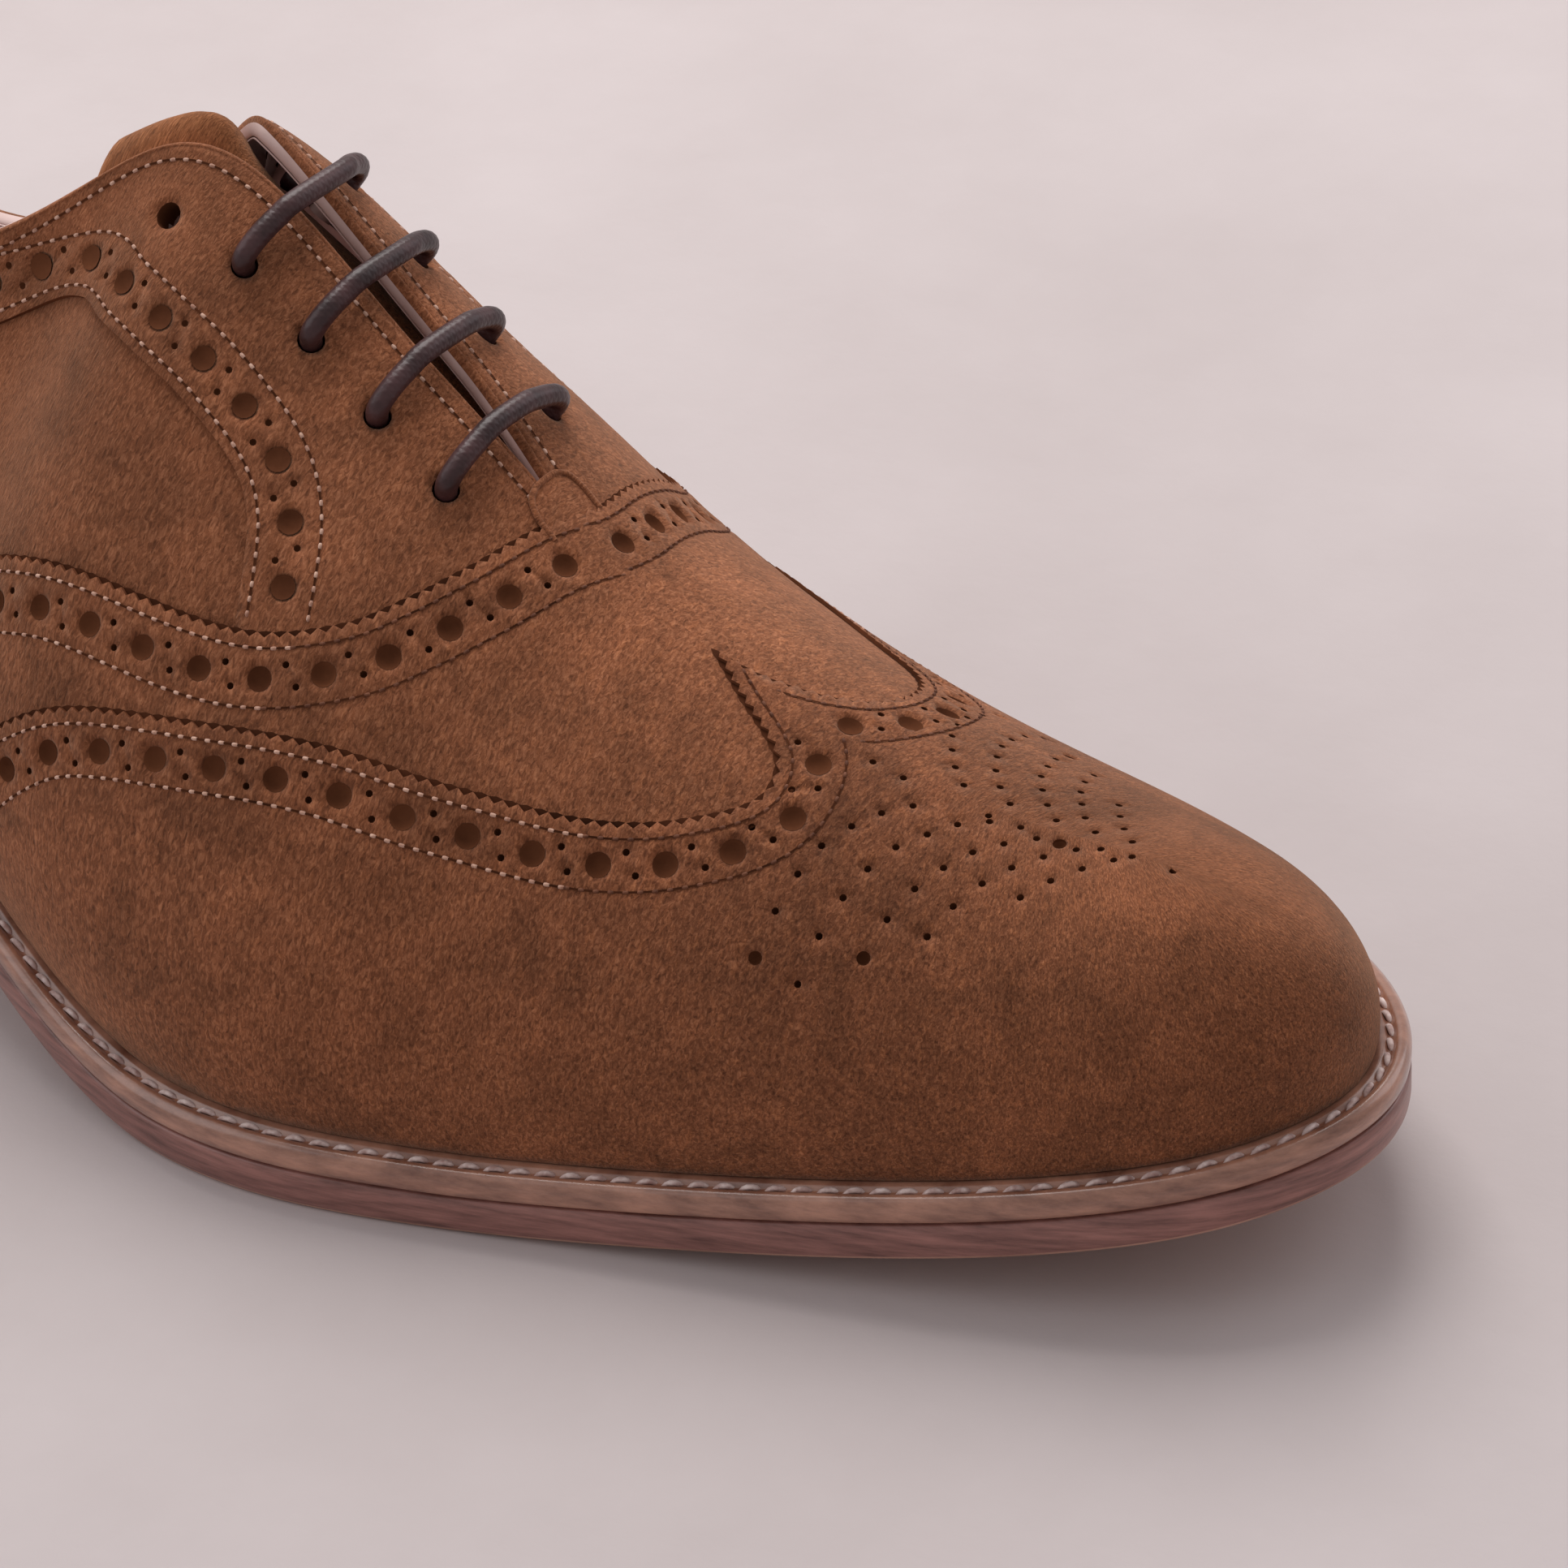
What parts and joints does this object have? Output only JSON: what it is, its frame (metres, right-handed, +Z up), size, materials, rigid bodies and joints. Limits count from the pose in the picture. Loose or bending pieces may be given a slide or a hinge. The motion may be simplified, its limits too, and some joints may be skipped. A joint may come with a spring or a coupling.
{
  "type": "wingtip oxford",
  "caption": "Low suede lace-up shoe with a winged toe cap, punched seams, a leather welt, a leather sole and a stacked heel; closed lacing over a tongue.",
  "frame": {"origin": "on the heel's flat bottom face, where the shoe stands, 29 mm ahead of the last's back", "axes": "+X toward the toe, +Y toward the medial side, +Z up"},
  "size_m": [0.302, 0.111, 0.1052],
  "materials": {
    "tan_suede": "suede with a short brushed nap",
    "wing_suede": "suede with a short brushed nap, a little darker",
    "tongue_suede": "suede",
    "lining_leather": "smooth pale lining leather",
    "welt_leather": "dyed and waxed, soft gloss",
    "sole_leather": "dyed edge, waxed",
    "heel_leather": "stacked leather, dyed and waxed",
    "heel_rubber": "matte rubber",
    "waxed_cotton": "waxed round cord"
  },
  "bodies": {
    "root": {"upper": "tan_suede", "wing_cap": "wing_suede", "vamp": "tan_suede", "facing": "tan_suede", "counter": "tan_suede", "tongue": "tongue_suede", "lace": "waxed_cotton", "insole": "lining_leather", "welt": "welt_leather", "outsole": "sole_leather", "heel_lift_1": "heel_leather", "heel_lift_2": "heel_leather", "heel_lift_3": "heel_leather", "heel_top_piece": "heel_rubber"}
  },
  "joints": []
}
